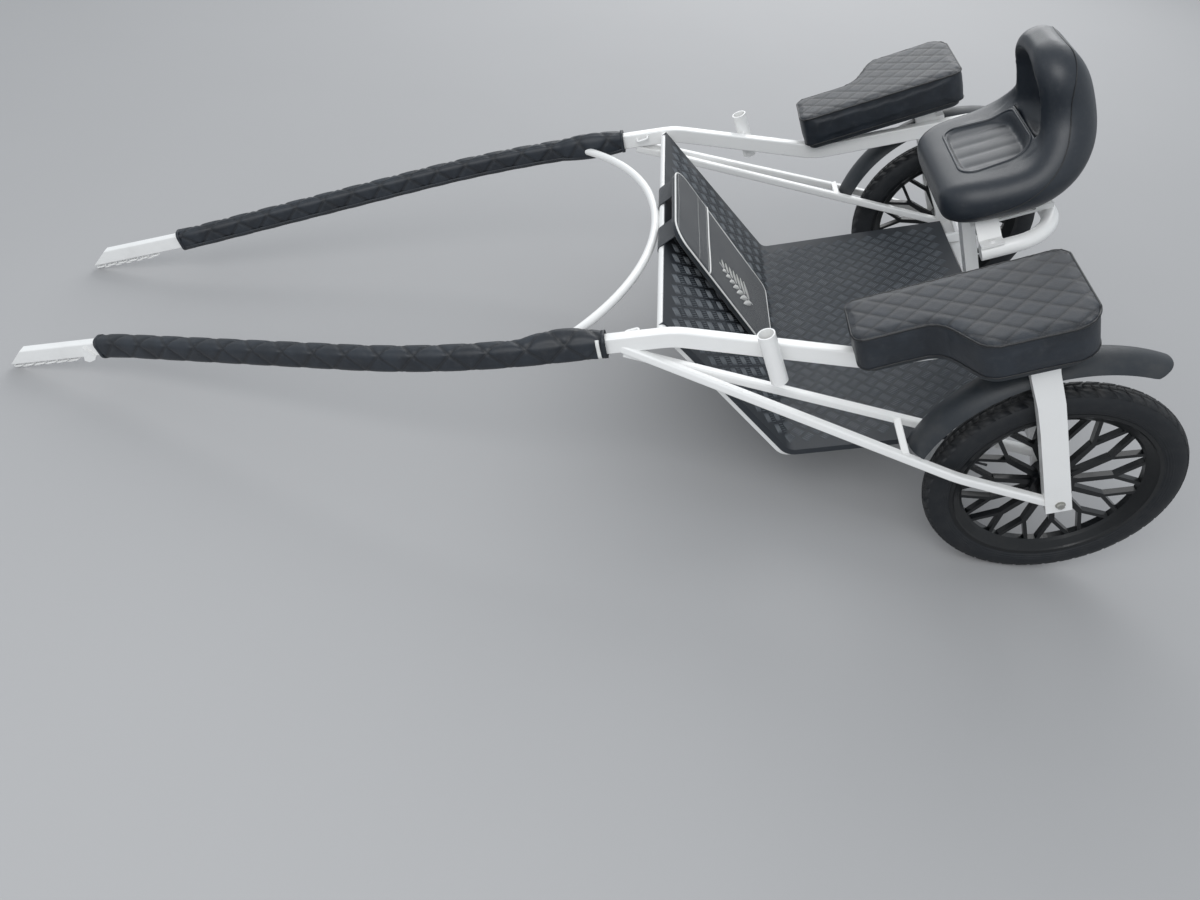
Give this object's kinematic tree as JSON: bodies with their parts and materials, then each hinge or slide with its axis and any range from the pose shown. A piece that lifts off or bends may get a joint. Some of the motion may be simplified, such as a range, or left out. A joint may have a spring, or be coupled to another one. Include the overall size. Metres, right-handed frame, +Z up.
{
  "type": "two-wheeled horse exercise cart",
  "caption": "Two-wheeled exercise cart for one horse, parked on its shaft tips: long padded shafts, tread plate footwell, bucket seat, side cushions and free-turning cast wheels.",
  "frame": {"origin": "on the ground under the middle of the parked cart's box", "axes": "+X forward to the shaft tips, +Y to the cart's left, +Z up; the cart stands nose down on its shaft tips"},
  "size_m": [2.847, 1.376, 1.0446],
  "materials": {
    "white_paint": "gloss",
    "quilted_vinyl": "satin",
    "smooth_vinyl": "satin",
    "bag_cloth": "matte",
    "tread_plate": "satin",
    "black_plastic": "satin",
    "wheel_black": "gloss",
    "tyre_rubber": "matte",
    "zinc_steel": "satin"
  },
  "bodies": {
    "cart": {"shaft_left": "white_paint", "shaft_right": "white_paint", "shaft_sleeve_left": "quilted_vinyl", "shaft_sleeve_right": "quilted_vinyl", "tip_chain_left": "white_paint", "tip_chain_right": "white_paint", "tug_stop_left": "white_paint", "tug_stop_right": "white_paint", "bow": "white_paint", "crossbar": "white_paint", "rein_staple_left": "white_paint", "rein_staple_right": "white_paint", "floor_pan": "tread_plate", "outer_leg_left": "white_paint", "inner_leg_left": "white_paint", "leg_crown_left": "white_paint", "outer_leg_right": "white_paint", "inner_leg_right": "white_paint", "leg_crown_right": "white_paint", "axle_beam": "white_paint", "axle_pin_left": "zinc_steel", "axle_pin_right": "zinc_steel", "beam_gusset_left": "white_paint", "beam_gusset_right": "white_paint", "seat_post": "white_paint", "rear_loop": "white_paint", "seat_slide": "white_paint", "seat_bar": "white_paint", "floor_runner_left": "white_paint", "floor_runner_right": "white_paint", "inner_brace_left": "white_paint", "outer_brace_left": "white_paint", "fork_strut_left": "white_paint", "inner_brace_right": "white_paint", "outer_brace_right": "white_paint", "fork_strut_right": "white_paint", "mudguard_left": "black_plastic", "mudguard_right": "black_plastic", "side_cushion_left": "quilted_vinyl", "cushion_tray_left": "black_plastic", "side_cushion_right": "quilted_vinyl", "cushion_tray_right": "black_plastic", "whip_holder_left": "white_paint", "whip_holder_right": "white_paint", "seat": "smooth_vinyl", "dash_bag": "bag_cloth", "bag_strap_left": "bag_cloth", "bag_strap_right": "bag_cloth"},
    "wheel_left": {"cast_wheel_left": "wheel_black", "tyre_left": "tyre_rubber"},
    "wheel_right": {"cast_wheel_right": "wheel_black", "tyre_right": "tyre_rubber"}
  },
  "joints": [
    {"name": "wheel_left_spin", "type": "hinge", "parent": "cart", "child": "wheel_left", "pos_m": [-1.14847, 0.566, 0.27505], "axis": [0, 1, 0], "continuous": true},
    {"name": "wheel_right_spin", "type": "hinge", "parent": "cart", "child": "wheel_right", "pos_m": [-1.14847, -0.566, 0.27505], "axis": [0, 1, 0], "continuous": true}
  ]
}
